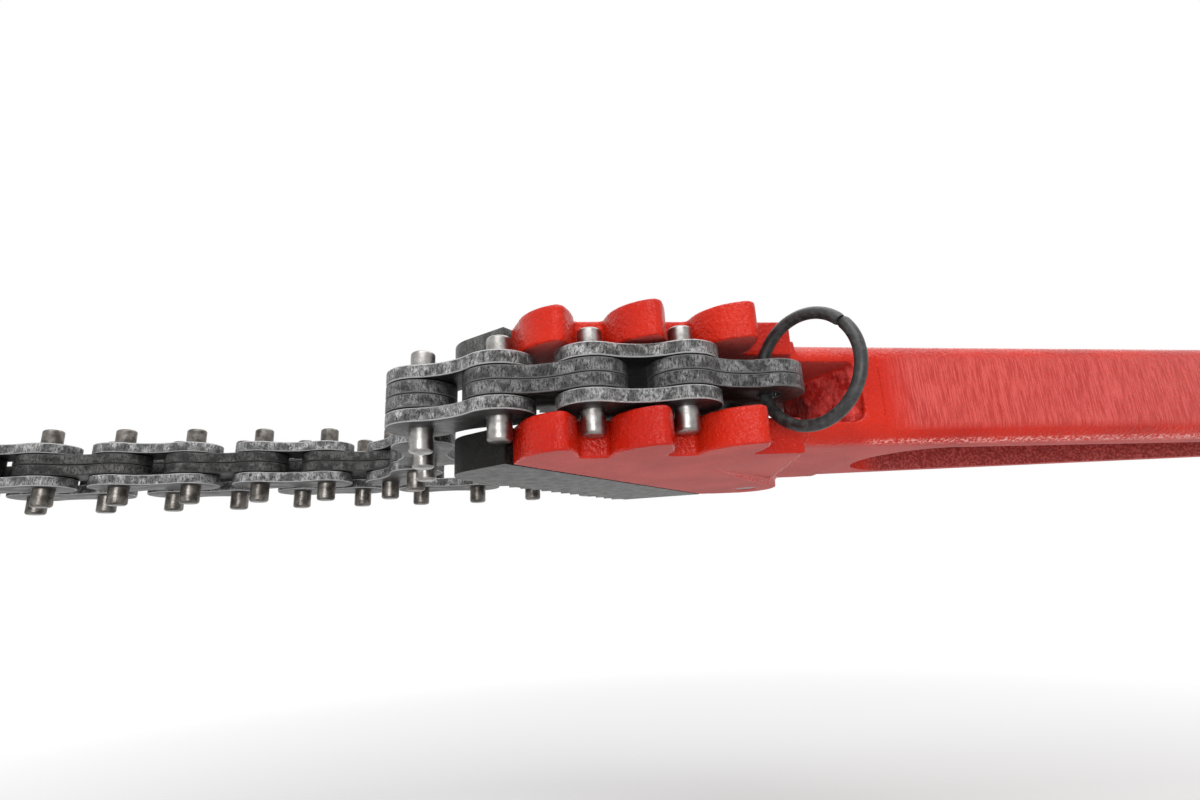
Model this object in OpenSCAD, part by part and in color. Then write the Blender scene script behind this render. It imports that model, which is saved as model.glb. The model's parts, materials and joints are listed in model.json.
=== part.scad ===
// Chain pipe wrench: a cast I-beam handle with a two-cheek head, a pair of toothed jaw plates,
// and a chain whose long pins hook behind the claws on the head's near edge.
// Millimetres. X runs along the handle towards its end, +Y towards the toothed jaws, Z along the chain pins.
// The origin is on the head's lower rest face, on the handle's centre line.

/* [Chain] */
// Distance between neighbouring chain pins
pitch = 25.4; // [20:0.1:32]
// Diameter of a chain pin
pin_d = 7; // [5:0.1:8]
// Length of a chain pin
pin_len = 29.8; // [26:0.1:32]
// Chamfer on a pin's ends
pin_chamfer = 0.6; // [0.2:0.1:1]
// Thickness of one link plate
plate_t = 4; // [3:0.1:4.4]
// Diameter of a link plate's round ends
plate_end_d = 20; // [16:0.1:20.5]
// Width of a link plate at its waist
plate_waist_w = 14.5; // [11:0.1:15.5]
// Side play between an outer and an inner plate
plate_side_play = 0.2; // [0.1:0.05:0.4]

/* [Head] */
// Height of the head over both cheeks
head_t = 40; // [38:0.5:44]
// Thickness of one cheek
cheek_t = 10.6; // [9.5:0.1:11]
// Radius of a claw's rounded back
claw_back_r = 16; // [14:0.5:18]
// Radius of the circle that a claw's blunt tip is cut to
claw_tip_r = 1.6; // [1:0.1:3]
// Radius of the boss around the chain's anchor pin
boss_r = 12; // [10:0.5:14]
// Diameter of the anchor pin
anchor_d = 8; // [7:0.1:9]
// Depth of the step from the cheek's pad down to the handle
pad_step = 2.8; // [1.5:0.1:3.5]

/* [Jaws] */
// Width of a jaw plate from its shoulder to the tips of its teeth
jaw_w = 31; // [28:0.5:34]
// Length of a jaw plate along its shoulder
jaw_len = 112; // [106:1:116]
// Distance between two teeth
tooth_pitch = 5.6; // [4.5:0.1:7]
// Depth of a tooth
tooth_depth = 3; // [2:0.1:3.5]
// Thickness of the tongue that laps under the cheek
tongue_t = 4; // [3:0.1:5]
// Diameter of a jaw rivet
rivet_d = 7; // [5:0.1:8]

/* [Handle] */
// Distance from the origin to the handle's end
handle_end_x = 820; // [700:10:900]
// Height of the handle's flanges
handle_t = 32.4; // [30:0.2:34]
// Half depth of the handle where it leaves the head
handle_root_half = 34.5; // [32:0.5:36]
// Half depth of the handle's grip
handle_grip_half = 19; // [17:0.5:22]
// Distance from the origin to the end of the taper
taper_end_x = 310; // [260:5:340]
// Thickness of a flange
flange_t = 10; // [8:0.5:12]
// Rounding of a flange's outer edges
flange_round = 7; // [3:0.5:8]
// Thickness of the web between the flanges
web_t = 11; // [8:0.5:14]
// Diameter of the hanging hole
hang_hole_d = 16; // [12:0.5:20]

/* [Ring] */
// Outside diameter of the end ring
ring_od = 34; // [30:0.5:36]
// Diameter of the ring's wire
ring_wire_d = 3.4; // [2.5:0.1:4]
// Gap where the ring's bent ends meet
ring_gap = 0.6; // [0.3:0.1:1]

/* [Clearances] */
// Radial play of an inner plate on its pin
run_play = 0.06; // [0.03:0.01:0.1]
// Radial gap between a pin and the plate that holds it
press_play = 0.02; // [0.01:0.01:0.04]
// Gap between a jaw plate and its seat
seat_play = 0.1; // [0.05:0.05:0.2]
// Gap between the ring's wire and the hole that it hangs in
ring_play = 0.3; // [0.2:0.05:0.5]
// Gap between a hooked pin and the claw that holds it
hook_play = 0.7; // [0.5:0.1:1.2]
// Gap between a hooked pin and the back of the next claw
notch_room = 1.6; // [1:0.1:2.5]
// Room around the chain's first pins beside the jaw plates
chain_room = 5; // [3:0.5:6]

/* [Hidden] */
$fn = 48;
over = 1;
mid_z = head_t / 2;
slot_h = head_t - 2 * cheek_t;
slot_end_x = 57;
slot_end_r = 4;
root_x = slot_end_x + 6;
span = 400;
outer_plate_z = plate_t + plate_side_play;
pin_r = pin_d / 2;

// Anchor pin of the chain
anchor = [40, 35];

// Heading of each link from the anchor pin outwards, as the chain lies hooked on the claws
run_heading = 185.8;
lead_headings = [125, 150, 157, 165, 174, 182];
run_links = 7;
turn_heading = 250;
tail_headings = [-56, -72, -83, -82, -27, -11.4, -1, 10];
headings = concat(
    lead_headings,
    [for (i = [1:run_links]) run_heading],
    [turn_heading],
    [for (i = [1:run_links]) run_heading - 180],
    tail_headings);
link_count = len(headings);
function step_to(a) = pitch * [cos(a), sin(a)];
function pin_at(k) = k == 0 ? anchor : pin_at(k - 1) + step_to(headings[k - 1]);
function is_outer(k) = k % 2 == 0;
function two_digits(k) = k < 10 ? str("0", k) : str(k);
function plates_name(k) = str("link_", two_digits(k), "_plates");
function pins_name(k) = str("link_", two_digits(k), "_pins");

// Jaw shoulder: a straight seat across both cheeks
jaw_angle = 49;
jaw_origin = [-49.4, -37.8];
jaw_front = -3;
jaw_back_angle = 25;
jaw_nose_r = 13;
jaw_along = [cos(jaw_angle), sin(jaw_angle)];
tongue_w = 31;
tongue_start = 10;
tongue_back = 8;
tongue_end = (anchor - jaw_origin) * jaw_along - tongue_back;
tongue_wall = 2;
tooth_start = 12;
tooth_margin = 14;
tooth_count = floor((jaw_len - tooth_margin - tooth_start) / tooth_pitch);
rivet_u = [20, 80];
rivet_v = -14;
rivet_cover = 2.5;
pin_sink = 0.3;

// Claws: each hooking face is an arc about the pin before it, so that the next pin swings in behind it
claw_back_heading = [7, 13, 21];
claw_count = len(claw_back_heading);
hook_r = pitch - pin_r - hook_play;
claw_reach = claw_back_r + pin_r + notch_room;
claw_base_y = pin_at(link_count - 2)[1] + pin_r + hook_play;
function hook_pin(i) = pin_at(link_count - claw_count + i);
function claw_back(i) = hook_pin(i) + claw_reach * [cos(claw_back_heading[i]), sin(claw_back_heading[i])];
tip_run = hook_r - claw_tip_r;
tip_along = (tip_run * tip_run - pow(claw_back_r - claw_tip_r, 2) + claw_reach * claw_reach) / (2 * claw_reach);
tip_turn = acos(tip_along / tip_run);
function toward(a, b) = (b - a) / norm(b - a);

// Near edge of the cheeks: where it starts behind the jaw and where it runs back to the handle
near_start = [jaw_origin[0] + 2.2, claw_base_y];
near_end = [33, claw_base_y + 3];
near_root = [37, 10 - handle_root_half];
neck_start_x = 10;
neck_edge_x = near_root[0];

// Edge of the raised cheek pad, which fades out towards the claws
pad_edge_start = [9.6, -20];
pad_edge_end = [49, 29];

// Handle
hang_hole_x = handle_end_x - handle_grip_half;
channel_start_x = 92;
channel_end_x = hang_hole_x - hang_hole_d - flange_t;
handle_low_z = mid_z - handle_t / 2;
channel_depth = (handle_t - web_t) / 2;
edge_rise = 0.05;
edge_lap = 2;
function taper_half(x) = handle_grip_half + (handle_root_half - handle_grip_half) * (taper_end_x - x) / (taper_end_x - slot_end_x);

// End ring
ring_heading = -58;
ring_joint = 40;
ring_r = (ring_od - ring_wire_d) / 2;
ring_shift = ring_wire_d / 2 + ring_play - pin_r - run_play;

red = "#c8201e";
steel = "#5d5f62";
bright_steel = "#a3a39f";
black = "#1d1f21";

OUTER_LINKS = [for (k = [1:link_count]) if (is_outer(k)) k];

// Everything on the near side of the cheeks' near edge, or of a line set back from it
module near_side_2d(inset) {
    edge = near_end - near_start;
    translate(near_start) rotate(atan2(edge[1], edge[0])) translate([-span / 2, inset - span]) square(span);
}

// One claw between its round back and its hooking face, cut off to a blunt tip
module claw_2d(i) {
    pin = hook_pin(i);
    back = claw_back(i);
    tip_heading = claw_back_heading[i] - tip_turn;
    tip = pin + tip_run * [cos(tip_heading), sin(tip_heading)];
    hook_edge = tip + claw_tip_r * toward(pin, tip);
    back_edge = tip + claw_tip_r * toward(back, tip);
    side = claw_tip_r * toward(hook_edge, back_edge);
    out = claw_back_r * toward(back, tip);
    difference() {
        intersection() {
            translate(pin) circle(hook_r, $fn = 96);
            translate(back) circle(claw_back_r, $fn = 96);
            near_side_2d(0);
        }
        polygon([hook_edge - side, back_edge + side, back_edge + side + out, hook_edge - side + out]);
    }
}

// Plan of the head to the right of the jaw shoulder
module head_2d() {
    polygon([
        jaw_origin, near_start, near_end, near_root,
        pad_edge_end, anchor + [boss_r, 0], anchor + [0, boss_r], jaw_origin + jaw_len * jaw_along]);
    translate(anchor) circle(boss_r);
}

// Plan of the neck that joins both cheeks at the slot's end
module neck_2d() {
    polygon([
        [neck_start_x, -taper_half(neck_start_x)], [root_x, -taper_half(root_x)], [root_x, taper_half(root_x)],
        [slot_end_x, handle_root_half], [anchor[0], handle_root_half]]);
}

// Plan of the handle, tapered from the neck to a parallel grip with a round end
module handle_2d() {
    polygon([
        [root_x, -taper_half(root_x)], [taper_end_x, -handle_grip_half], [hang_hole_x, -handle_grip_half],
        [hang_hole_x, handle_grip_half], [taper_end_x, handle_grip_half], [root_x, taper_half(root_x)]]);
    translate([hang_hole_x, 0]) circle(handle_grip_half);
}

// Plan of the recess between the flanges, with round ends
module channel_2d() {
    root_r = taper_half(channel_start_x) - flange_t;
    grip_r = handle_grip_half - flange_t;
    polygon([
        [channel_start_x, -root_r], [taper_end_x, -grip_r], [channel_end_x, -grip_r],
        [channel_end_x, grip_r], [taper_end_x, grip_r], [channel_start_x, root_r]]);
    translate([channel_start_x, 0]) circle(root_r);
    translate([channel_end_x, 0]) circle(grip_r);
}

// Frame of the jaw: X along the shoulder, +Y towards the teeth
module at_jaw() {
    translate(jaw_origin) rotate(jaw_angle) children();
}

// Tongue of a jaw plate, which laps under the cheek as far as the anchor pin
module tongue_2d(grow, root) {
    difference() {
        at_jaw() translate([tongue_start - grow, -tongue_w - grow])
            square([tongue_end - tongue_start + 2 * grow, tongue_w + grow + root]);
        near_side_2d(tongue_wall - grow);
    }
    translate(anchor) circle(boss_r - tongue_wall + grow);
}

// Outer face of a jaw plate, with a round nose and a row of pointed teeth
module jaw_face_2d() {
    root_v = jaw_w - tooth_depth;
    nose = [jaw_front + jaw_nose_r, root_v - jaw_nose_r];
    difference() {
        union() {
            translate([jaw_front, 0]) square([jaw_len - jaw_front, nose[1]]);
            translate([nose[0], 0]) square([jaw_len - nose[0], root_v]);
            translate(nose) circle(jaw_nose_r);
            for (i = [0:tooth_count - 1]) translate([tooth_start + i * tooth_pitch, root_v])
                polygon([[0, -over], [0, 0], [tooth_pitch / 2, tooth_depth], [tooth_pitch, 0], [tooth_pitch, -over]]);
        }
        translate([jaw_len, 0]) rotate(jaw_back_angle) square([jaw_len, 2 * jaw_w]);
    }
}

// Holes for the blind rivets and the anchor pin, through both cheeks and tongues
module fastener_holes(play) {
    for (u = rivet_u) at_jaw() translate([u, rivet_v, rivet_cover])
        cylinder(d = rivet_d + 2 * play, h = head_t - 2 * rivet_cover);
    translate([anchor[0], anchor[1], -over]) cylinder(d = anchor_d + 2 * play, h = head_t + 2 * over);
}

// The relieved side of a cheek: it slopes away from the pad's edge towards the handle
module cheek_relief() {
    edge = pad_edge_end - pad_edge_start;
    run = norm(edge);
    slope = atan(pad_step / run);
    translate([pad_edge_start[0], pad_edge_start[1], 0]) rotate(atan2(edge[1], edge[0]))
        rotate([0, -slope, 0]) translate([0, -2 * run, -2 * cheek_t]) cube([4 * run, 2 * run, 2 * cheek_t]);
}

// What the rounding takes off a flange's edge, with the corner at the origin
module edge_2d() {
    difference() {
        translate([-over, -over]) square(flange_round + over);
        translate([flange_round, flange_round]) circle(flange_round + edge_rise);
    }
}

// Rounding along a straight edge from a to b, lengthened by lap at each end
module straight_edge(a, b, lap) {
    run = b - a;
    translate([a[0], a[1], handle_low_z]) rotate(atan2(run[1], run[0])) translate([-lap[0], 0, 0])
        rotate([90, 0, 90]) linear_extrude(norm(run) + lap[0] + lap[1]) edge_2d();
}

// Rounding along the lower edge on the near side from start_x, lapped where the taper ends
module flange_edge(start_x, lap) {
    bend = [taper_end_x, -handle_grip_half];
    straight_edge([start_x, -taper_half(start_x)], bend, [lap, edge_lap]);
    straight_edge(bend, [hang_hole_x, -handle_grip_half], [edge_lap, 0]);
}

// Rounding along the lower edge of the handle's round end
module end_edge() {
    intersection() {
        translate([hang_hole_x, 0, handle_low_z]) rotate_extrude()
            translate([handle_grip_half, 0]) mirror([1, 0]) edge_2d();
        translate([hang_hole_x, -span / 2, 0]) cube([span, span, head_t]);
    }
}

// The slot between the cheeks, with round corners at its end
module cheek_slot() {
    bend_x = slot_end_x - slot_end_r;
    translate([bend_x - span, -span / 2, cheek_t]) cube([span, span, slot_h]);
    translate([bend_x - over, -span / 2, cheek_t + slot_end_r])
        cube([slot_end_r + over, span, slot_h - 2 * slot_end_r]);
    for (z = [cheek_t + slot_end_r, head_t - cheek_t - slot_end_r])
        translate([bend_x, -span / 2, z]) rotate([-90, 0, 0]) cylinder(r = slot_end_r, h = span);
}

// One cheek's claws, each a solid that meets the cheek's near edge
module claw_row() {
    color(red) linear_extrude(cheek_t) for (i = [0:claw_count - 1]) claw_2d(i);
}

module claws_lower() {
    claw_row();
}

module claws_upper() {
    translate([0, 0, head_t - cheek_t]) claw_row();
}

module head() {
    color(red) difference() {
        union() {
            difference() {
                linear_extrude(head_t) head_2d();
                cheek_relief();
                translate([0, 0, head_t]) mirror([0, 0, 1]) cheek_relief();
            }
            translate([0, 0, handle_low_z]) linear_extrude(handle_t) neck_2d();
        }
        cheek_slot();
        flange_edge(neck_edge_x, 0);
        translate([0, 0, head_t]) mirror([0, 0, 1]) flange_edge(neck_edge_x, 0);
        for (z = [cheek_t - tongue_t - seat_play, head_t - cheek_t - over])
            translate([0, 0, z]) linear_extrude(tongue_t + seat_play + over) tongue_2d(seat_play, seat_play);
        fastener_holes(press_play);
    }
}

module handle() {
    color(red) difference() {
        translate([0, 0, handle_low_z]) linear_extrude(handle_t) handle_2d();
        for (z = [handle_low_z - over, mid_z + web_t / 2])
            translate([0, 0, z]) linear_extrude(channel_depth + over) channel_2d();
        for (top = [0, 1]) translate([0, 0, top * head_t]) mirror([0, 0, top]) {
            flange_edge(root_x, edge_lap);
            mirror([0, 1, 0]) flange_edge(root_x, edge_lap);
            end_edge();
        }
        translate([hang_hole_x, 0, 0]) cylinder(d = hang_hole_d, h = head_t);
    }
}

// One jaw plate with its outer face down
module jaw_plate() {
    difference() {
        union() {
            at_jaw() translate([0, seat_play, 0]) linear_extrude(cheek_t) jaw_face_2d();
            translate([0, 0, cheek_t - tongue_t]) linear_extrude(tongue_t) tongue_2d(0, tongue_wall);
        }
        fastener_holes(press_play);
        for (k = [1, 2]) translate([pin_at(k)[0], pin_at(k)[1], -over])
            cylinder(r = pin_r + chain_room, h = cheek_t + 2 * over);
    }
}

module jaw_lower() {
    color(steel) jaw_plate();
}

module jaw_upper() {
    color(steel) translate([0, 0, head_t]) mirror([0, 0, 1]) jaw_plate();
}

module jaw_rivets() {
    low = rivet_cover + press_play;
    color(steel) for (z = [low, head_t - cheek_t + pin_sink], u = rivet_u)
        at_jaw() translate([u, rivet_v, z]) cylinder(d = rivet_d, h = cheek_t - low - pin_sink);
}

module anchor_pin() {
    color(bright_steel) translate([anchor[0], anchor[1], pin_sink])
        cylinder(d = anchor_d, h = head_t - 2 * pin_sink);
}

// A waisted link plate with a hole at each end, lying along +X
module plate_2d(hole_a, hole_b) {
    waist_r = (pitch * pitch / 4 + (plate_waist_w / 2) * (plate_waist_w / 2)
        - plate_end_d * plate_end_d / 4) / (plate_end_d - plate_waist_w);
    waist_y = plate_waist_w / 2 + waist_r;
    tangent = pitch / 2 * waist_r / (waist_r + plate_end_d / 2);
    difference() {
        union() {
            for (x = [0, pitch]) translate([x, 0]) circle(d = plate_end_d);
            difference() {
                translate([pitch / 2 - tangent, -plate_end_d / 2]) square([2 * tangent, plate_end_d]);
                for (s = [-1, 1]) translate([pitch / 2, s * waist_y]) circle(waist_r, $fn = 128);
            }
        }
        circle(d = hole_a);
        translate([pitch, 0]) circle(d = hole_b);
    }
}

// Frame of link k: its first pin at the origin, its second along +X
module at_link(k) {
    p = pin_at(k - 1);
    translate([p[0], p[1], mid_z]) rotate(headings[k - 1]) children();
}

module outer_plates(k) {
    hole = pin_d + 2 * press_play;
    color(steel) at_link(k) for (z = [-outer_plate_z - plate_t, outer_plate_z])
        translate([0, 0, z]) linear_extrude(plate_t) plate_2d(hole, hole);
}

module inner_plates(k) {
    hole = pin_d + 2 * run_play;
    first = k == 1 ? anchor_d + 2 * run_play : hole;
    color(steel) at_link(k) for (z = [-plate_t, press_play])
        translate([0, 0, z]) linear_extrude(plate_t - press_play) plate_2d(first, hole);
}

module link_plates(k) {
    if (is_outer(k)) outer_plates(k);
    else inner_plates(k);
}

// A plain pin with chamfered ends
module chain_pin() {
    rotate_extrude() polygon([
        [0, -pin_len / 2], [pin_r - pin_chamfer, -pin_len / 2], [pin_r, -pin_len / 2 + pin_chamfer],
        [pin_r, pin_len / 2 - pin_chamfer], [pin_r - pin_chamfer, pin_len / 2], [0, pin_len / 2]]);
}

module link_pins(k) {
    color(bright_steel) at_link(k) for (x = [0, pitch]) translate([x, 0, 0]) chain_pin();
}

// A bent wire ring, resting against the inner wall of the last link's free hole
module end_ring() {
    hole = pin_at(link_count);
    color(black) translate([hole[0], hole[1], mid_z]) rotate(ring_heading)
        translate([ring_r + ring_shift, 0, 0])
        difference() {
            rotate([90, 0, 0]) rotate_extrude() translate([ring_r, 0]) circle(d = ring_wire_d, $fn = 24);
            rotate([0, -ring_joint, 0]) translate([0, -ring_wire_d, -ring_gap / 2]) cube([ring_od, 2 * ring_wire_d, ring_gap]);
        }
}

head();
claws_lower();
claws_upper();
handle();
jaw_lower();
jaw_upper();
jaw_rivets();
anchor_pin();
end_ring();
for (k = [1:link_count]) link_plates(k);
for (k = OUTER_LINKS) link_pins(k);
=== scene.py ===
"""Chain pipe wrench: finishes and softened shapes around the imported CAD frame."""
import json
import math

import bmesh
import bpy
from mathutils import Matrix, Vector, noise as field

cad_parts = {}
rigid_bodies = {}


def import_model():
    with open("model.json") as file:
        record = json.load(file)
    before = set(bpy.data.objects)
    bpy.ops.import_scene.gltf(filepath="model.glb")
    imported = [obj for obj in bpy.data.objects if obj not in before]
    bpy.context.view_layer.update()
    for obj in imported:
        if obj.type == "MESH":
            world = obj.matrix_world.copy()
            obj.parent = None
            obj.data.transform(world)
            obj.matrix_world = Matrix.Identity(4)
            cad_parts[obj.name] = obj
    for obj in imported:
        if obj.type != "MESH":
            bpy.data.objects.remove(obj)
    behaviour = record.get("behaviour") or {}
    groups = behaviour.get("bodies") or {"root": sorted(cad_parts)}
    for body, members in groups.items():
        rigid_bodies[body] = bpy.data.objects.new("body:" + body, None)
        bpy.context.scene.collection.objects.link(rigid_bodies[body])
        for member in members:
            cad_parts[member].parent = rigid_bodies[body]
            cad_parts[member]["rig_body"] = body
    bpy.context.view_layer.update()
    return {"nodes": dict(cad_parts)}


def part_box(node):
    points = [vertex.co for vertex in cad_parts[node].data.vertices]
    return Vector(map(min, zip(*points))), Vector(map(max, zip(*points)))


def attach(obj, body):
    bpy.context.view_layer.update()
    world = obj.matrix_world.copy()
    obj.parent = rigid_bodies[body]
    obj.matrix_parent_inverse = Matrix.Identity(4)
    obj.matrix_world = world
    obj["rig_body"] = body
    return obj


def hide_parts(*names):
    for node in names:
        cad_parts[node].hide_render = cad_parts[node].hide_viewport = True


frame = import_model()
nodes = frame["nodes"]
scene = bpy.context.scene
MM = 0.001

# Camera, found from the chain pins and claws in the photograph
IMAGE_WIDTH_PX = 1200
FOCAL_PX = 643
SENSOR_MM = 36
CAMERA_PLACE = Vector((-43.5, -214.9, -31.0)) * MM
CAMERA_PITCH = math.radians(15.39)
CAMERA_ROLL = math.radians(-2.97)
CAMERA_HEADING = math.radians(-6.2)
CAMERA_CLIP = 5 * MM

# Stage and light, with lengths in metres
FLOOR_DROP = 140 * MM
FLOOR_HALF = 4.0
FLOOR_FADE = (0.18, 0.60)
FLOOR_TONE = (0.86, 0.86, 0.86, 1)
WHITE = (1, 1, 1, 1)
WORLD_FILL = 0.38
HEAD_AIM = (0, 0, 0.02)
NECK_AIM = (0.05, 0, 0.02)

# Head, with its slot and the wall that closes the slot's end
HEAD_NODES = ("head", "claws_lower", "claws_upper")
HEAD_VOXEL = 0.6 * MM
SOFTEN_FACTOR = 0.5
SOFTEN_PASSES = 9
ROOT_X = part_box("handle")[0].x
ROOT_LAP = 5 * MM
ROOT_TAPER = 0.991
SLOT_END_X = 57 * MM
SLOT_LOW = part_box("claws_lower")[1].z
SLOT_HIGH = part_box("claws_upper")[0].z
WEB_NEAR = (SLOT_END_X, -33 * MM)
WEB_FAR = (47.5 * MM, -14 * MM)
WEB_BACK_Y = 6 * MM
WEB_SINK = 2 * MM
CREASE_DEPTH = 0.7 * MM
CREASE_PITCH = 5 * MM
CREASE_FALLOFF = 0.8
CREASE_GROWTH = 2.0
CREASE_OCTAVES = 3

# Paint zones: where they begin and end, and how far their faces are turned
FLANK_FADE_X = (64 * MM, 74 * MM)
RIM_FADE_X = (56 * MM, 60 * MM)
RECESS_FADE_Y = (-6 * MM, -4 * MM)
POCKET_X = (37 * MM, 56.6 * MM)
POCKET_SOFT_X = 0.5 * MM
POCKET_SOFT_Z = 0.6 * MM
CHEEK_SLOPE = (0.90, 0.99)
FLANK_SLOPE = (0.88, 1.0)
RIM_SLOPE = (0.78, 0.97)
RIM_SOFT = 0.05

# Paint tones, from the deep patches to the light ones. The pocket, recess, cheek and rim tones paint
# light, shade, reflection and glints into the colour.
ENAMEL_TONES = ((0.45, 0.011, 0.004, 1), (0.58, 0.021, 0.007, 1))
# Painted light: the slot's end wall takes a much lighter red, and its wrinkles get painted light and
# shade.
POCKET_PAINTED_LIGHT_TONES = ((0.42, 0.020, 0.016, 1), (0.80, 0.090, 0.080, 1))
FLANK_TONES = ((0.43, 0.034, 0.028, 1), (0.63, 0.090, 0.078, 1))
# Painted shade: the handle's recesses take a darker red.
RECESS_PAINTED_SHADE_TONES = ((0.19, 0.018, 0.016, 1), (0.45, 0.090, 0.080, 1))
# Painted reflection: flat top and bottom faces take a paler, pinker red that stands in for the pale floor
# seen in them.
CHEEK_PAINTED_REFLECTION_TONES = ((0.42, 0.050, 0.042, 1), (0.50, 0.066, 0.056, 1))
# Painted highlight: pale glints speckled along the rims.
RIM_PAINTED_GLINT_TONE = (0.80, 0.32, 0.29, 1)
IRON_TONE = (0.20, 0.185, 0.17, 1)

# Wear of the paint, which is stronger on the claws
CLAW_MAX_X = 30 * MM
CLAW_MAX_Y = -40 * MM
CLAW_WEAR = 4.0
EDGE_WEAR = 1.6

# Plates and pins
# Links up to this number form the far run; its pins and inner plates take darker steel as painted shade.
FAR_LINKS = 22
FACE_SLOPE = (0.80, 0.95)
LIP_SLOPE = (0.22, 0.85)
LIP_SOFT = 0.08

# Rounded edges
HANDLE_EDGE = 1.6 * MM
JAW_EDGE = 0.5 * MM
PLATE_EDGE = 0.45 * MM
PIN_EDGE = 0.25 * MM
FINE_SEGMENTS = 3
MERGE_GAP = 0.002 * MM
PLANE_GAP = 0.01 * MM
FLAT_ANGLE = math.radians(0.5)
EDGE_ANGLE = math.radians(40)
SHADE_ANGLE = math.radians(35)

# End ring
RING_WIRE_R = 1.7 * MM
RING_HEADING = math.radians(-58)
RING_JOINT = math.radians(40)
RING_GAP = math.radians(0.4)
RING_OFFSET = 0.9 * MM
RING_STEPS = 120
RING_SIDES = 20
RING_END_SHARE = 0.9
RING_SHADE_ANGLE = math.radians(50)


# Shader building

def shader(name):
    """A new material with its node tree and its surface node."""
    made = bpy.data.materials.new(name)
    made.use_nodes = True
    tree = made.node_tree
    return made, tree, tree.nodes["Principled BSDF"]


def feed(tree, node, sockets):
    """Links each named input of a node to a socket, or sets it to a plain value."""
    for key, value in sockets.items():
        if isinstance(value, bpy.types.NodeSocket):
            tree.links.new(value, node.inputs[key])
        else:
            node.inputs[key].default_value = value


def put(tree, kind, sockets=None, **settings):
    """A new node with its settings and inputs."""
    made = tree.nodes.new(kind)
    for key, value in settings.items():
        setattr(made, key, value)
    feed(tree, made, sockets or {})
    return made


def place(tree):
    """The surface's place in its piece's own frame."""
    return put(tree, "ShaderNodeTexCoord").outputs["Object"]


def split(tree, vector):
    """A vector's X, Y and Z shares."""
    return put(tree, "ShaderNodeSeparateXYZ", {"Vector": vector}).outputs


def facing(tree):
    """The X, Y and Z shares of the surface's direction."""
    return split(tree, put(tree, "ShaderNodeNewGeometry").outputs["Normal"])


def stretched(tree, scale):
    """The surface's place with its own scale along each axis, for marks that run one way."""
    return put(tree, "ShaderNodeMapping", {"Vector": place(tree), "Scale": scale}).outputs["Vector"]


def noise(tree, vector, scale, detail=4, rough=0.55):
    sockets = {"Vector": vector, "Scale": scale, "Detail": detail, "Roughness": rough}
    return put(tree, "ShaderNodeTexNoise", sockets).outputs["Fac"]


def ramp(tree, value, low, high, to_low=0.0, to_high=1.0):
    sockets = {"Value": value, "From Min": low, "From Max": high, "To Min": to_low, "To Max": to_high}
    return put(tree, "ShaderNodeMapRange", sockets).outputs["Result"]


def math_node(tree, operation, a, b=0.0):
    return put(tree, "ShaderNodeMath", {0: a, 1: b}, operation=operation).outputs["Value"]


def absolute(tree, a):
    return math_node(tree, "ABSOLUTE", a)


def multiply(tree, a, b):
    return math_node(tree, "MULTIPLY", a, b)


def inverse(tree, a):
    return math_node(tree, "SUBTRACT", 1.0, a)


def band(tree, value, low, high, soft):
    """1 between low and high, with soft flanks."""
    rise = ramp(tree, value, low - soft, low + soft)
    fall = ramp(tree, value, high - soft, high + soft, to_low=1.0, to_high=0.0)
    return multiply(tree, rise, fall)


def mix(tree, factor, a, b):
    made = put(tree, "ShaderNodeMix", data_type="RGBA")
    feed(tree, made, {"Factor": factor, "A": a, "B": b})
    return made.outputs["Result"]


def bump(tree, height, strength, distance, under=None):
    sockets = {"Height": height, "Strength": strength, "Distance": distance}
    if under is not None:
        sockets["Normal"] = under
    return put(tree, "ShaderNodeBump", sockets).outputs["Normal"]


def grey(value, warm=0.0):
    return (value * (1 + warm), value, value * (1 - warm), 1)


# Materials

def paint_zones(tree, at):
    """Masks for the cheeks, the handle's flanks, its recesses, its rims and the slot's end."""
    spot = split(tree, at)
    turned = facing(tree)
    level = absolute(tree, turned["Z"])
    sideways = absolute(tree, turned["Y"])
    outward = multiply(tree, turned["Y"], spot["Y"])
    cheek = ramp(tree, level, *CHEEK_SLOPE)
    flank = multiply(tree, ramp(tree, sideways, *FLANK_SLOPE), ramp(tree, spot["X"], *FLANK_FADE_X))
    recess = multiply(tree, flank, ramp(tree, outward, *RECESS_FADE_Y, to_low=1.0, to_high=0.0))
    rim = multiply(tree, band(tree, level, *RIM_SLOPE, RIM_SOFT), ramp(tree, spot["X"], *RIM_FADE_X))
    depth = band(tree, spot["Z"], SLOT_LOW + POCKET_SOFT_Z, SLOT_HIGH - POCKET_SOFT_Z, POCKET_SOFT_Z)
    pocket = multiply(tree, depth, band(tree, spot["X"], *POCKET_X, POCKET_SOFT_X))
    return cheek, flank, recess, rim, pocket


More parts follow.
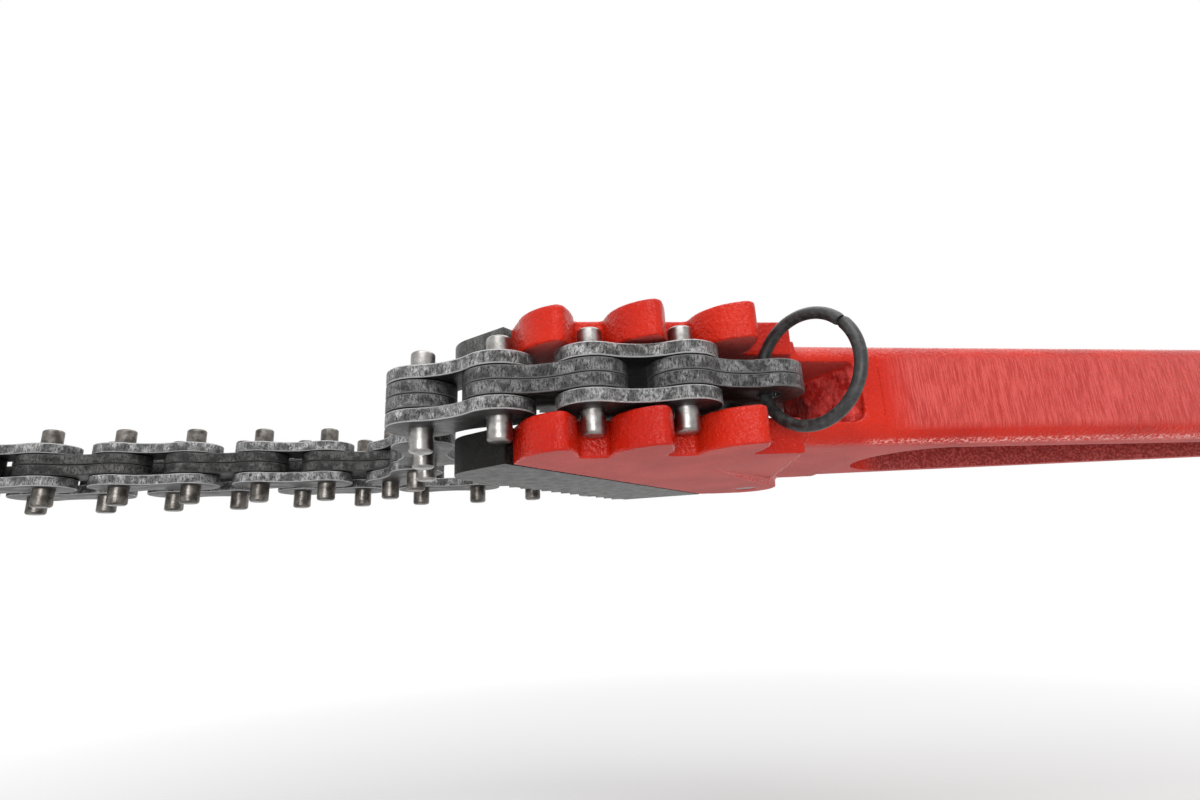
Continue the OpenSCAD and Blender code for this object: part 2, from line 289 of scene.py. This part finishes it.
def red_enamel():
    """Red paint over a casting: streaked flanks, matt cheeks and chipped claws, with painted light on the
    slot's end wall, painted shade in the handle's recesses, a painted floor reflection on the flat faces
    and painted glints on the rims.
    """
    made, tree, bsdf = shader("red_enamel")
    at = place(tree)
    cheek, flank, recess, rim, pocket = paint_zones(tree, at)
    broad = noise(tree, at, scale=40, detail=3)
    peel = noise(tree, at, scale=880, detail=2)
    grain = noise(tree, at, scale=1700, detail=2)
    streak = noise(tree, stretched(tree, (1, 0.2, 0.06)), scale=2300, detail=3, rough=0.7)
    crease = noise(tree, at, scale=240, detail=5, rough=0.62)
    glint = noise(tree, at, scale=1100, detail=3, rough=0.6)
    flakes = noise(tree, at, scale=420, detail=5, rough=0.7)

    # Painted light and shade of the wrinkles on the slot's end wall, over a lighter red.
    pocket_painted_light = mix(tree, ramp(tree, crease, 0.40, 0.60), *POCKET_PAINTED_LIGHT_TONES)
    streaked = mix(tree, ramp(tree, streak, 0.42, 0.58), *FLANK_TONES)
    # Painted shade in the handle's recesses.
    shaded = mix(tree, ramp(tree, glint, 0.46, 0.60), *RECESS_PAINTED_SHADE_TONES)
    # Painted reflection of the pale floor on the flat faces.
    cheek_painted_reflection = mix(tree, ramp(tree, broad, 0.40, 0.60), *CHEEK_PAINTED_REFLECTION_TONES)
    colour = mix(tree, ramp(tree, broad, 0.35, 0.65), *ENAMEL_TONES)
    colour = mix(tree, pocket, colour, pocket_painted_light)
    colour = mix(tree, flank, colour, mix(tree, recess, streaked, shaded))
    # Painted glints speckled along the rims.
    colour = mix(tree, multiply(tree, rim, ramp(tree, glint, 0.48, 0.58)), colour, RIM_PAINTED_GLINT_TONE)
    colour = mix(tree, cheek, colour, cheek_painted_reflection)

    wear = put(tree, "ShaderNodeAttribute", attribute_name="wear").outputs["Fac"]
    bare = multiply(tree, wear, inverse(tree, pocket))
    chip = ramp(tree, multiply(tree, bare, flakes), 0.46, 0.50)
    shine = ramp(tree, peel, 0.3, 0.7, to_low=0.14, to_high=0.32)

    skin = bump(tree, peel, strength=ramp(tree, flank, 0, 1, to_low=0.70, to_high=0.25), distance=0.6 * MM)
    skin = bump(tree, grain, strength=0.25, distance=0.2 * MM, under=skin)
    skin = bump(tree, streak, strength=multiply(tree, flank, 0.45), distance=0.4 * MM, under=skin)
    skin = bump(tree, crease, strength=multiply(tree, pocket, 0.5), distance=1.2 * MM, under=skin)
    skin = bump(tree, inverse(tree, chip), strength=0.3, distance=0.3 * MM, under=skin)
    feed(tree, bsdf, {
        "Base Color": mix(tree, chip, colour, IRON_TONE),
        "Metallic": multiply(tree, chip, 0.85),
        "Roughness": mix(tree, cheek, shine, grey(0.55)),
        "Specular IOR Level": 0.2,
        "Normal": skin,
    })
    return made


def sheared_steel(name, face_tone, edge_tone, dark_tone, lip_tone):
    """Rolled plate: smooth scaled faces, speckled sheared edges and rounded lips of their own tone."""
    made, tree, bsdf = shader(name)
    at = place(tree)
    level = absolute(tree, facing(tree)["Z"])
    face = ramp(tree, level, *FACE_SLOPE)
    lip = band(tree, level, *LIP_SLOPE, LIP_SOFT)
    mottle = noise(tree, at, scale=260, detail=4, rough=0.6)
    tear = noise(tree, stretched(tree, (1, 1, 0.45)), scale=1900, detail=6, rough=0.8)
    spots = noise(tree, at, scale=700, detail=4, rough=0.6)

    edge = mix(tree, ramp(tree, tear, 0.40, 0.58), dark_tone, edge_tone)
    edge = mix(tree, ramp(tree, mottle, 0.42, 0.60, to_low=0.22), dark_tone, edge)
    edge = mix(tree, lip, edge, lip_tone)
    flat = mix(tree, ramp(tree, spots, 0.35, 0.60), dark_tone, face_tone)
    edge_rough = ramp(tree, tear, 0.35, 0.65, to_low=0.46, to_high=0.22)
    face_rough = ramp(tree, mottle, 0.3, 0.7, to_low=0.36, to_high=0.50)

    relief = bump(tree, tear, strength=inverse(tree, face), distance=0.5 * MM)
    relief = bump(tree, spots, strength=0.12, distance=0.2 * MM, under=relief)
    feed(tree, bsdf, {
        "Base Color": mix(tree, face, edge, flat),
        "Metallic": 0.85,
        "Roughness": mix(tree, face, edge_rough, face_rough),
        "Normal": relief,
    })
    return made


def turned_steel(name, dark_tone, bright_tone):
    """Pin steel with fine lines round its axis and stains."""
    made, tree, bsdf = shader(name)
    lines = noise(tree, stretched(tree, (0.15, 0.15, 1)), scale=2600, detail=3)
    stain = noise(tree, place(tree), scale=320)
    feed(tree, bsdf, {
        "Base Color": mix(tree, ramp(tree, stain, 0.38, 0.62), dark_tone, bright_tone),
        "Metallic": 1.0,
        "Roughness": ramp(tree, lines, 0.3, 0.7, to_low=0.26, to_high=0.42),
        "Normal": bump(tree, lines, strength=0.12, distance=0.1 * MM),
    })
    return made


def black_wire():
    """Satin black wire, scuffed grey in places."""
    made, tree, bsdf = shader("black_wire")
    scuff = noise(tree, place(tree), scale=600, detail=5, rough=0.65)
    feed(tree, bsdf, {
        "Base Color": mix(tree, ramp(tree, scuff, 0.45, 0.75), grey(0.016), grey(0.060)),
        "Roughness": ramp(tree, scuff, 0.3, 0.7, to_low=0.34, to_high=0.50),
        "Normal": bump(tree, scuff, strength=0.1, distance=0.2 * MM),
    })
    return made


# Softened copies of the CAD nodes

def fresh_copy(*names):
    """A clean mesh of one or more CAD nodes, with one vertex per corner in each."""
    mesh = bpy.data.meshes.new(names[0] + "_skin")
    work = bmesh.new()
    for name in names:
        source = nodes[name].data
        first = len(work.verts)
        corners = [work.verts.new(v.co) for v in source.vertices]
        for p in source.polygons:
            work.faces.new([corners[i] for i in p.vertices])
        work.verts.ensure_lookup_table()
        bmesh.ops.remove_doubles(work, verts=work.verts[first:], dist=MERGE_GAP)
        work.verts.ensure_lookup_table()
    return mesh, work


def show(mesh, material, *names):
    """A piece with this mesh that moves with its CAD nodes' body and takes their place."""
    skin = bpy.data.objects.new(names[0] + "_skin", mesh)
    scene.collection.objects.link(skin)
    mesh.materials.clear()
    mesh.materials.append(material)
    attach(skin, nodes[names[0]]["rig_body"])
    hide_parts(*names)
    return skin


def at_root(part):
    """Whether an edge or a face lies where the head meets the handle."""
    return all(abs(v.co.x - ROOT_X) < PLANE_GAP for v in part.verts)


def broken_edges(name, width, material, segments=2, keep=None):
    """A node with its sharp edges rounded off, apart from those that keep picks."""
    mesh, work = fresh_copy(name)
    bmesh.ops.dissolve_limit(work, angle_limit=FLAT_ANGLE, verts=work.verts, edges=work.edges)
    sharp = [e for e in work.edges if e.is_manifold and e.calc_face_angle() > EDGE_ANGLE]
    if keep is not None:
        sharp = [e for e in sharp if not keep(e)]
    bmesh.ops.bevel(work, geom=sharp, offset=width, offset_type="OFFSET", segments=segments, profile=0.5,
                    affect="EDGES", clamp_overlap=True)
    work.to_mesh(mesh)
    work.free()
    mesh.shade_smooth()
    mesh.set_sharp_from_angle(angle=SHADE_ANGLE)
    show(mesh, material, name)


def set_wear(mesh):
    """Marks convex edges as worn, most of all on the claws."""
    work = bmesh.new()
    work.from_mesh(mesh)
    work.normal_update()
    values = []
    for v in work.verts:
        lift = [(e.other_vert(v).co - v.co).normalized().dot(v.normal) for e in v.link_edges]
        convex = -sum(lift) / max(len(lift), 1)
        on_claw = v.co.x < CLAW_MAX_X and v.co.y < CLAW_MAX_Y
        rate = CLAW_WEAR if on_claw else EDGE_WEAR
        values.append(max(0.0, min(1.0, convex * rate)))
    work.free()
    layer = mesh.attributes.new("wear", "FLOAT", "POINT")
    layer.data.foreach_set("value", values)


def add_web(work):
    """A cast wall that closes the slot's end slantwise, behind the ring."""
    inside = SLOT_END_X + WEB_SINK
    outline = [(inside, WEB_NEAR[1]), WEB_NEAR, WEB_FAR, (WEB_FAR[0], WEB_BACK_Y), (inside, WEB_BACK_Y)]
    foot = [work.verts.new((x, y, SLOT_LOW - WEB_SINK)) for x, y in outline]
    head = [work.verts.new((x, y, SLOT_HIGH + WEB_SINK)) for x, y in outline]
    made = [work.faces.new(foot), work.faces.new(head[::-1])]
    for k, corner in enumerate(foot):
        n = (k + 1) % len(foot)
        made.append(work.faces.new((corner, head[k], head[n], foot[n])))
    bmesh.ops.recalc_face_normals(work, faces=made)


def crease_web(mesh):
    """Wrinkles the wall in the slot's end as rough casting sand leaves it."""
    shifts = {}
    for v in mesh.vertices:
        in_slot = SLOT_LOW + CREASE_DEPTH < v.co.z < SLOT_HIGH - CREASE_DEPTH
        on_wall = WEB_FAR[0] - WEB_SINK < v.co.x < SLOT_END_X and WEB_NEAR[1] < v.co.y < WEB_BACK_Y
        if in_slot and on_wall:
            wave = field.fractal(v.co / CREASE_PITCH, CREASE_FALLOFF, CREASE_GROWTH, CREASE_OCTAVES)
            shifts[v.index] = v.normal * CREASE_DEPTH * wave
    for index, shift in shifts.items():
        mesh.vertices[index].co += shift


def cast_head(material):
    """The head with the soft edges of a casting, lapped a little way onto the handle."""
    mesh, work = fresh_copy(*HEAD_NODES)
    rear = [f for f in work.faces if at_root(f)]
    moved = bmesh.ops.extrude_face_region(work, geom=rear)["geom"]
    bmesh.ops.delete(work, geom=rear, context="FACES_ONLY")
    for v in moved:
        if isinstance(v, bmesh.types.BMVert):
            v.co = Vector((v.co.x + ROOT_LAP, v.co.y * ROOT_TAPER, v.co.z))
    add_web(work)
    work.to_mesh(mesh)
    work.free()
    skin = show(mesh, material, *HEAD_NODES)
    remesh = skin.modifiers.new("cast", "REMESH")
    remesh.mode = "VOXEL"
    remesh.voxel_size = HEAD_VOXEL
    soften = skin.modifiers.new("soften", "SMOOTH")
    soften.factor = SOFTEN_FACTOR
    soften.iterations = SOFTEN_PASSES
    evaluated = skin.evaluated_get(bpy.context.evaluated_depsgraph_get())
    cast = bpy.data.meshes.new_from_object(evaluated)
    skin.modifiers.clear()
    skin.data = cast
    cast.materials.clear()
    cast.materials.append(material)
    crease_web(cast)
    set_wear(cast)
    cast.shade_smooth()


def wire_ring(material):
    """The ring as bent wire whose two ends meet with a small sideways step."""
    lo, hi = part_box("end_ring")
    centre = (lo + hi) / 2
    radius = (hi.z - lo.z) / 2 - RING_WIRE_R
    along = Vector((math.cos(RING_HEADING), math.sin(RING_HEADING), 0))
    across = Vector((-along.y, along.x, 0))
    up = Vector((0, 0, 1))
    around = [2 * math.pi * k / RING_SIDES for k in range(RING_SIDES)]
    work = bmesh.new()
    rings = []
    for i in range(RING_STEPS + 1):
        share = i / RING_STEPS
        angle = RING_JOINT + RING_GAP + share * (2 * math.pi - 2 * RING_GAP)
        out = along * math.cos(angle) + up * math.sin(angle)
        core = centre + out * radius + across * (share - 0.5) * RING_OFFSET
        wire = RING_WIRE_R * (RING_END_SHARE if i in (0, RING_STEPS) else 1.0)
        spokes = [out * math.cos(a) + across * math.sin(a) for a in around]
        rings.append([work.verts.new(core + spoke * wire) for spoke in spokes])
    for a, b in zip(rings, rings[1:]):
        for k in range(RING_SIDES):
            n = (k + 1) % RING_SIDES
            work.faces.new((a[k], a[n], b[n], b[k]))
    work.faces.new(rings[0][::-1])
    work.faces.new(rings[-1])
    bmesh.ops.recalc_face_normals(work, faces=work.faces)
    mesh = bpy.data.meshes.new("end_ring_skin")
    work.to_mesh(mesh)
    work.free()
    mesh.shade_smooth()
    mesh.set_sharp_from_angle(angle=RING_SHADE_ANGLE)
    show(mesh, material, "end_ring")


# Stage, light and camera

def seen_background(tree):
    """1 for rays that show the background itself, seen directly, in a reflection or through glass."""
    path = put(tree, "ShaderNodeLightPath").outputs
    bent = math_node(tree, "MAXIMUM", path["Is Glossy Ray"], path["Is Transmission Ray"])
    return math_node(tree, "MAXIMUM", path["Is Camera Ray"], bent)


def backdrop_shader():
    """A matt pale floor that fades to plain white away from the object."""
    made, tree, bsdf = shader("pale_floor")
    feed(tree, bsdf, {"Base Color": FLOOR_TONE, "Roughness": 1.0, "Specular IOR Level": 0.0})
    reach = put(tree, "ShaderNodeVectorMath", {0: place(tree)}, operation="LENGTH").outputs["Value"]
    fade = multiply(tree, seen_background(tree), ramp(tree, reach, *FLOOR_FADE))
    plain = put(tree, "ShaderNodeEmission", {"Color": WHITE, "Strength": 1.0}).outputs["Emission"]
    blend = put(tree, "ShaderNodeMixShader", {0: fade, 1: bsdf.outputs["BSDF"], 2: plain})
    feed(tree, tree.nodes["Material Output"], {"Surface": blend.outputs["Shader"]})
    return made


def make_stage():
    """The floor, some way below the object."""
    mesh = bpy.data.meshes.new("floor")
    h = FLOOR_HALF
    corners = [(x, y, -FLOOR_DROP) for x, y in ((-h, -h), (h, -h), (h, h), (-h, h))]
    mesh.from_pydata(corners, [], [(0, 1, 2, 3)])
    floor = bpy.data.objects.new("floor", mesh)
    scene.collection.objects.link(floor)
    mesh.materials.append(backdrop_shader())


def make_world():
    """White where it is seen, and a weaker fill light elsewhere."""
    world = bpy.data.worlds.new("studio")
    scene.world = world
    world.use_nodes = True
    tree = world.node_tree
    strength = ramp(tree, seen_background(tree), 0, 1, to_low=WORLD_FILL)
    feed(tree, tree.nodes["Background"], {"Color": WHITE, "Strength": strength})


def soft_lamp(name, place_at, aim, size, watts):
    """A rectangular lamp that faces its aim."""
    lamp = bpy.data.lights.new(name, "AREA")
    lamp.shape = "RECTANGLE"
    lamp.size = size[0]
    lamp.size_y = size[1]
    lamp.energy = watts
    holder = bpy.data.objects.new(name, lamp)
    holder.location = place_at
    holder.rotation_mode = "QUATERNION"
    holder.rotation_quaternion = (Vector(aim) - Vector(place_at)).to_track_quat("-Z", "Y")
    scene.collection.objects.link(holder)


def make_camera():
    """The photograph's view: from below the head, looking up and a little towards the handle."""
    turn = Matrix.Rotation(CAMERA_HEADING, 3, "Z")
    forward = turn @ Vector((0, math.cos(CAMERA_PITCH), math.sin(CAMERA_PITCH)))
    level = turn @ Vector((1, 0, 0))
    upright = level.cross(forward)
    right = level * math.cos(CAMERA_ROLL) + upright * math.sin(CAMERA_ROLL)
    up = upright * math.cos(CAMERA_ROLL) - level * math.sin(CAMERA_ROLL)
    data = bpy.data.cameras.new("camera")
    data.sensor_width = SENSOR_MM
    data.lens = FOCAL_PX / IMAGE_WIDTH_PX * SENSOR_MM
    data.clip_start = CAMERA_CLIP
    camera = bpy.data.objects.new("camera", data)
    rows = Matrix((right, up, -forward)).transposed().to_4x4()
    rows.translation = CAMERA_PLACE
    camera.matrix_world = rows
    scene.collection.objects.link(camera)
    scene.camera = camera


# Finishes

enamel = red_enamel()
plate_steel = sheared_steel("plate_steel", face_tone=grey(0.060, 0.02), edge_tone=grey(0.50),
                            dark_tone=grey(0.030), lip_tone=grey(0.45))
inner_steel = sheared_steel("inner_plate_steel", face_tone=grey(0.060, 0.02), edge_tone=grey(0.30),
                            dark_tone=grey(0.020), lip_tone=grey(0.16))
# Painted shade: a darker copy of the inner plate steel for the far run.
painted_shade_plate_steel = sheared_steel("painted_shade_plate_steel", face_tone=grey(0.040, 0.03), edge_tone=grey(0.15, 0.02),
                                dark_tone=grey(0.018), lip_tone=grey(0.07))
jaw_steel = sheared_steel("jaw_steel", face_tone=grey(0.055, 0.04), edge_tone=grey(0.026, 0.05),
                          dark_tone=grey(0.014, 0.05), lip_tone=grey(0.06))
worn_steel = sheared_steel("worn_jaw_steel", face_tone=grey(0.055, 0.04), edge_tone=grey(0.15, 0.02),
                           dark_tone=grey(0.055, 0.02), lip_tone=grey(0.18))
pin_steel = turned_steel("turned_steel", dark_tone=grey(0.21, 0.05), bright_tone=grey(0.37, 0.03))
# Painted shade: a darker copy of the pin steel for the far run's pins; the anchor pin takes it too.
painted_shade_pin_steel = turned_steel("painted_shade_turned_steel", dark_tone=grey(0.065, 0.10), bright_tone=grey(0.19, 0.08))


# Pieces

def dress_link(name):
    """A link's plates or pins. Inner links are darker than outer ones, and the far run's pins and inner
    plates are darker still, as painted shade.
    """
    link = int(name.split("_")[1])
    far = link <= FAR_LINKS
    if name.endswith("_pins"):
        broken_edges(name, PIN_EDGE, painted_shade_pin_steel if far else pin_steel)
    elif link % 2 == 0:
        broken_edges(name, PLATE_EDGE, plate_steel, FINE_SEGMENTS)
    else:
        broken_edges(name, PLATE_EDGE, painted_shade_plate_steel if far else inner_steel, FINE_SEGMENTS)


cast_head(enamel)
broken_edges("handle", HANDLE_EDGE, enamel, FINE_SEGMENTS, at_root)
broken_edges("jaw_lower", JAW_EDGE, jaw_steel)
broken_edges("jaw_upper", JAW_EDGE, worn_steel)
broken_edges("jaw_rivets", PIN_EDGE, jaw_steel)
broken_edges("anchor_pin", PIN_EDGE, painted_shade_pin_steel)
for name in sorted(nodes):
    if name.startswith("link_"):
        dress_link(name)
wire_ring(black_wire())

make_stage()
make_world()
soft_lamp("key", place_at=(-0.10, -0.75, 0.9), aim=HEAD_AIM, size=(0.9, 0.6), watts=7)
soft_lamp("top", place_at=(0.2, 0.15, 0.9), aim=HEAD_AIM, size=(1.2, 0.8), watts=5)
soft_lamp("front", place_at=(-0.14, -0.68, -0.02), aim=NECK_AIM, size=(0.4, 0.16), watts=1.6)
make_camera()

scene.view_settings.view_transform = "Standard"
